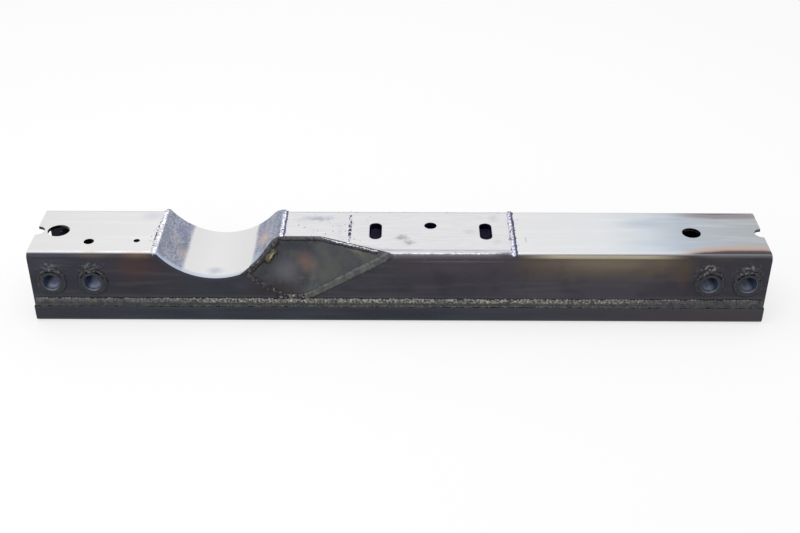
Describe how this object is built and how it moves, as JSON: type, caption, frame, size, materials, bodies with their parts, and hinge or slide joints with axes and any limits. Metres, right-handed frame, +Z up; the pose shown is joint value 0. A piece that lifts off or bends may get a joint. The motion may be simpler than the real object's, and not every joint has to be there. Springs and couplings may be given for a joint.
{
  "type": "transmission crossmember",
  "caption": "Welded box-section crossmember of raw steel with a rolled saddle, a clearance scoop, a slotted transmission mount plate and through sleeves for bracket bolts.",
  "frame": {"origin": "centre of the beam's underside, where it stands on the floor", "axes": "+X along the beam towards its plain end, away from the saddle; -Y towards the face with the clearance scoop; +Z up"},
  "size_m": [0.7366, 0.0968, 0.0809],
  "materials": {
    "tray_steel": "bare hot-rolled sheet, dark, with mill scale worn at the bends",
    "channel_steel": "bare sheet, pale on top, darker with temper colours on the legs",
    "saddle_steel": "bare rolled plate with heat tint near its welds",
    "clearance_steel": "bare folded plate, dark",
    "link_steel": "ground bare plate",
    "mount_steel": "ground bare plate with a few smudges",
    "sleeve_steel": "bare turned tube, heat-tinted at its ends",
    "weld_metal": "rippled weld bead, as welded or ground"
  },
  "bodies": {
    "root": {"lower_channel": "tray_steel", "upper_channel": "channel_steel", "saddle_plate": "saddle_steel", "clearance_plate": "clearance_steel", "link_plate": "link_steel", "mount_plate": "mount_steel", "sleeve_left_outer": "sleeve_steel", "sleeve_left_inner": "sleeve_steel", "sleeve_right_inner": "sleeve_steel", "sleeve_right_outer": "sleeve_steel", "seam_weld_front": "weld_metal", "seam_weld_back": "weld_metal", "saddle_weld_left": "weld_metal", "saddle_weld_right": "weld_metal", "link_weld": "weld_metal", "mount_weld_right": "weld_metal", "mount_weld_front": "weld_metal", "mount_weld_back": "weld_metal", "link_weld_back": "weld_metal", "clearance_weld_ridge": "weld_metal", "clearance_weld_lower": "weld_metal", "clearance_weld_top": "weld_metal", "clearance_weld_trough": "weld_metal", "ring_weld_left_outer_front": "weld_metal", "ring_weld_left_outer_back": "weld_metal", "ring_weld_left_inner_front": "weld_metal", "ring_weld_left_inner_back": "weld_metal", "ring_weld_right_inner_front": "weld_metal", "ring_weld_right_inner_back": "weld_metal", "ring_weld_right_outer_front": "weld_metal", "ring_weld_right_outer_back": "weld_metal"}
  },
  "joints": []
}
